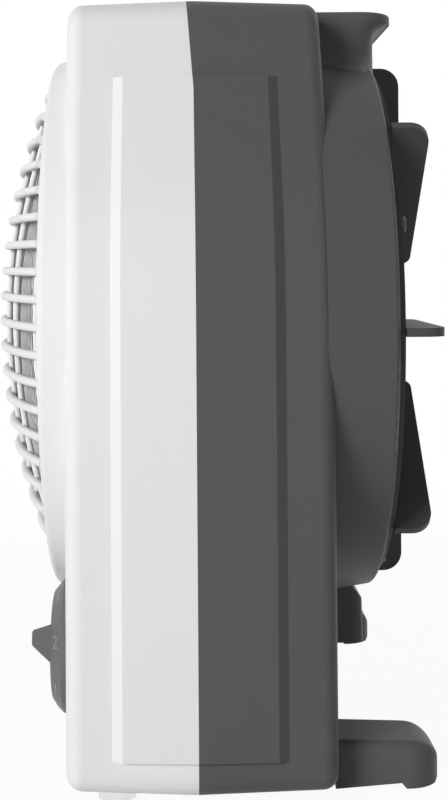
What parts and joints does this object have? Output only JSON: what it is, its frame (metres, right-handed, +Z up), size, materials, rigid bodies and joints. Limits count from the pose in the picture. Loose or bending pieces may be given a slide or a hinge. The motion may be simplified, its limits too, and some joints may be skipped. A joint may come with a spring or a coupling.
{
  "type": "fan heater",
  "caption": "Upright fan heater with a domed outlet grille, control knobs, a round motor drum with a finned intake guard, a carrying lip and rear feet.",
  "frame": {"origin": "on the ground, below the middle of the overall width and depth", "axes": "+Z up, -Y the way the warm air leaves, +X towards the thermostat knob's side"},
  "size_m": [0.219, 0.1518, 0.258],
  "materials": {
    "white_shell": "satin moulded white",
    "white_grille": "satin moulded white",
    "dark_shell": "fine-grained dark grey",
    "dark_guard": "fine-grained near black",
    "grey_knob": "satin mid grey",
    "sheet_steel": "rolled sheet",
    "mica": "pressed mica",
    "ribbon_alloy": "dull resistance alloy",
    "ceramic": "unglazed ceramic",
    "fuse_metal": "plain",
    "fan_plastic": "heat-resistant moulding",
    "lamination_steel": "stacked sheets",
    "copper": "enamelled copper wire",
    "bearing_bronze": "sintered",
    "plated_steel": "zinc plated",
    "black_steel": "blackened",
    "amber_lens": "clear tinted",
    "lamp_glass": "clear",
    "lead_sleeve": "silicone sleeve"
  },
  "bodies": {
    "heater_case": {"control_nuts": "plated_steel", "cord_gland": "dark_guard", "fan_shroud": "fan_plastic", "foot_screws": "black_steel", "front_bearing": "bearing_bronze", "front_grille": "white_grille", "front_housing": "white_shell", "guard_screws": "black_steel", "heater_card_level": "mica", "heater_card_upright": "mica", "heater_leads": "lead_sleeve", "heating_element_inner": "ribbon_alloy", "heating_element_outer": "ribbon_alloy", "housing_screws": "black_steel", "lamp_lead": "lead_sleeve", "motor_bobbin": "fan_plastic", "motor_front_bracket": "sheet_steel", "motor_leads": "lead_sleeve", "motor_nuts": "plated_steel", "motor_rear_bracket": "sheet_steel", "motor_screws": "plated_steel", "motor_spacers": "plated_steel", "motor_stator": "lamination_steel", "motor_strap": "sheet_steel", "motor_winding": "copper", "outlet_duct": "sheet_steel", "pilot_lamp": "lamp_glass", "pilot_lens": "amber_lens", "rear_bearing": "bearing_bronze", "rear_foot_left": "dark_shell", "rear_foot_right": "dark_shell", "rear_guard": "dark_guard", "rear_housing": "dark_shell", "shroud_screws": "plated_steel", "strap_screws": "plated_steel", "supply_leads": "lead_sleeve", "switch_body": "fan_plastic", "terminal_block": "ceramic", "terminal_screws": "plated_steel", "thermal_cutout": "ceramic", "thermal_fuse": "fuse_metal", "thermostat_body": "fan_plastic"},
    "fan_rotor": {"fan_impeller": "fan_plastic", "fan_nut": "plated_steel", "motor_rotor": "lamination_steel", "motor_shaft": "plated_steel"},
    "thermostat_dial": {"thermostat_knob": "grey_knob", "thermostat_shaft": "plated_steel"},
    "switch_dial": {"switch_knob": "grey_knob", "switch_shaft": "plated_steel"}
  },
  "joints": [
    {"name": "fan_spin", "type": "hinge", "parent": "heater_case", "child": "fan_rotor", "pos_m": [0, 0.00745, 0.1445], "axis": [0, 1, 0], "continuous": true},
    {"name": "thermostat_turn", "type": "hinge", "parent": "heater_case", "child": "thermostat_dial", "pos_m": [0.063, -0.04955, 0.038], "axis": [0, 1, 0], "range_deg": [0, 270]},
    {"name": "switch_turn", "type": "hinge", "parent": "heater_case", "child": "switch_dial", "pos_m": [-0.063, -0.04955, 0.038], "axis": [0, 1, 0], "range_deg": [0, 180]}
  ]
}
